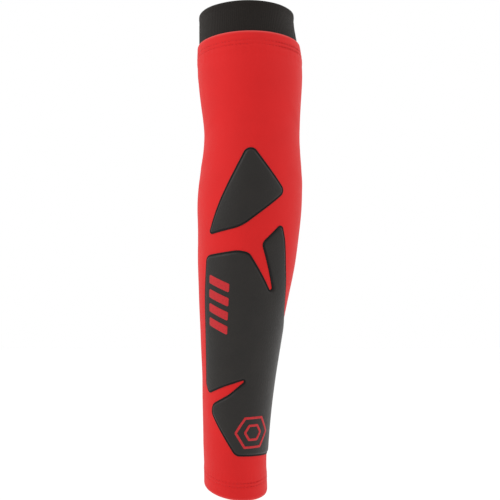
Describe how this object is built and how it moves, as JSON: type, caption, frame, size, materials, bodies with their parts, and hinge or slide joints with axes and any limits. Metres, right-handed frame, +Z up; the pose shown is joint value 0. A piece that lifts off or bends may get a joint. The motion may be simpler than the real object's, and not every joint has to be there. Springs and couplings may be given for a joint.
{
  "type": "forearm guard",
  "caption": "Pull-on knitted arm sleeve with an elastic upper-arm cuff, a bonded elbow pad and a long wrap-round forearm pad; it bends at the elbow.",
  "frame": {"origin": "centre of the wearer's elbow, inside the sleeve", "axes": "+Z up the upper arm towards the cuff, -Y out of the point of the elbow through the pads, +X to the right as seen from behind the elbow"},
  "size_m": [0.0875, 0.1161, 0.4116],
  "materials": {
    "red_knit": "matte",
    "black_elastic": "matte",
    "pad_skin": "matte",
    "pad_foam": "matte",
    "pad_backing": "matte",
    "silicone_grip": "satin",
    "red_thread": "matte",
    "red_print": "satin"
  },
  "bodies": {
    "upper_sleeve": {"cuff_band": "black_elastic", "cuff_gripper_strips": "silicone_grip", "cuff_hem_stitching": "red_thread", "upper_sleeve_shell": "red_knit", "upper_seam_thread": "red_thread", "elbow_sleeve_shell": "red_knit", "elbow_pad_cover": "pad_skin", "elbow_pad_foam": "pad_foam", "elbow_pad_backing": "pad_backing", "elbow_seam_thread": "red_thread"},
    "forearm_sleeve": {"forearm_sleeve_shell": "red_knit", "forearm_pad_cover": "pad_skin", "forearm_pad_foam": "pad_foam", "forearm_pad_backing": "pad_backing", "forearm_bar_print": "red_print", "wrist_emblem_print": "red_print", "wrist_hem": "red_knit", "wrist_hem_stitching": "red_thread", "wrist_gripper_strips": "silicone_grip", "forearm_seam_thread": "red_thread"}
  },
  "joints": [
    {"name": "elbow_bend", "type": "hinge", "parent": "upper_sleeve", "child": "forearm_sleeve", "pos_m": [0, 0, 0], "axis": [1, 0, 0], "range_deg": [-10, 100], "stiffness_Nm_per_rad": 0.25, "deforming": ["elbow_sleeve_shell", "elbow_pad_cover", "elbow_pad_foam", "elbow_pad_backing", "elbow_seam_thread"]}
  ]
}
